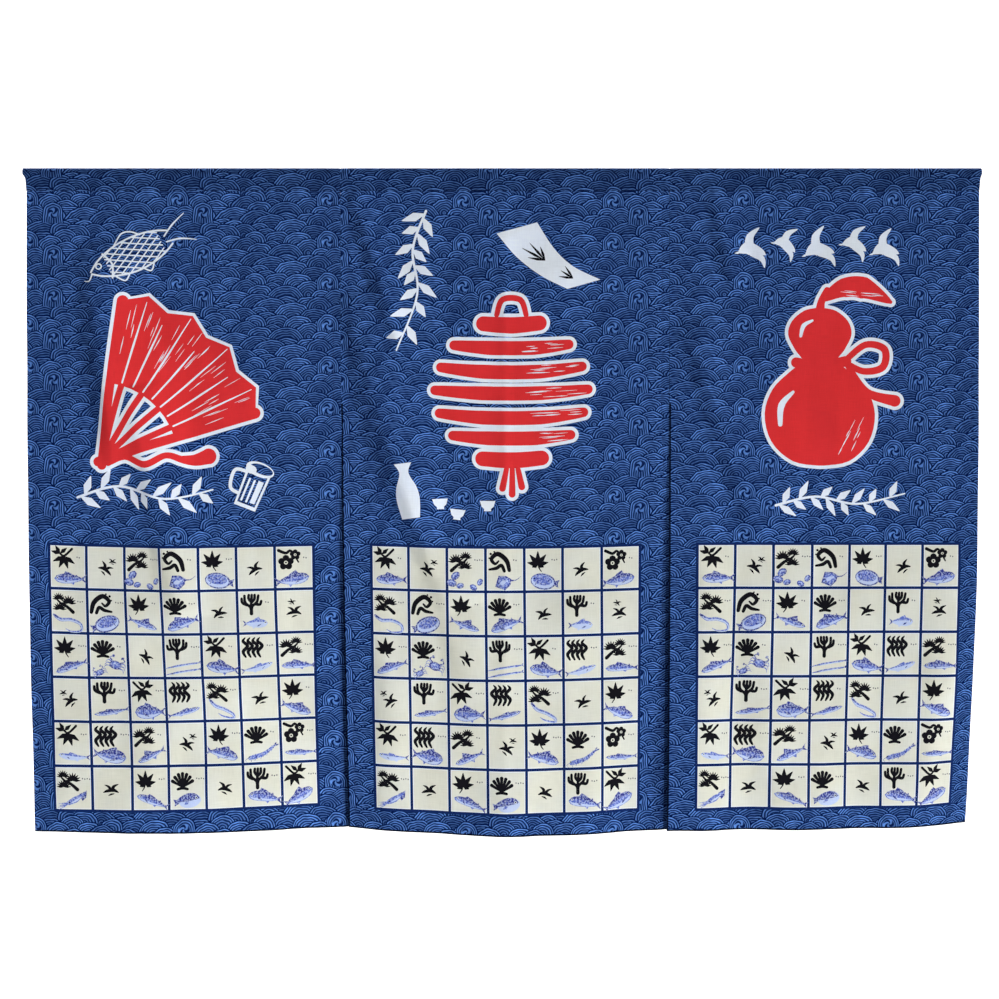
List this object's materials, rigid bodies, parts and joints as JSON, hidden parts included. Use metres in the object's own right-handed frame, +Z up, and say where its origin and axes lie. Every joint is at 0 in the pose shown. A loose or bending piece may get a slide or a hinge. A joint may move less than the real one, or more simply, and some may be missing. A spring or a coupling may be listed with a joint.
{
  "type": "noren curtain",
  "caption": "Split doorway curtain of printed cloth panels that hang side by side from an open rod sleeve, sewn together near the top and free below.",
  "frame": {"origin": "middle of the top edge, at the top of the rod sleeve, in the plane of the rod's axis", "axes": "+X along the top edge to the right of a viewer who faces the printed side, +Y away from that viewer, +Z up"},
  "size_m": [1.3, 0.079, 0.905],
  "materials": {
    "panel_cloth": "plain-woven cloth, printed, matt",
    "sleeve_cloth": "plain-woven cloth, printed, matt"
  },
  "bodies": {
    "root": {"heading_sleeve": "sleeve_cloth", "panel_left": "panel_cloth", "panel_centre": "panel_cloth", "panel_right": "panel_cloth"}
  },
  "joints": []
}
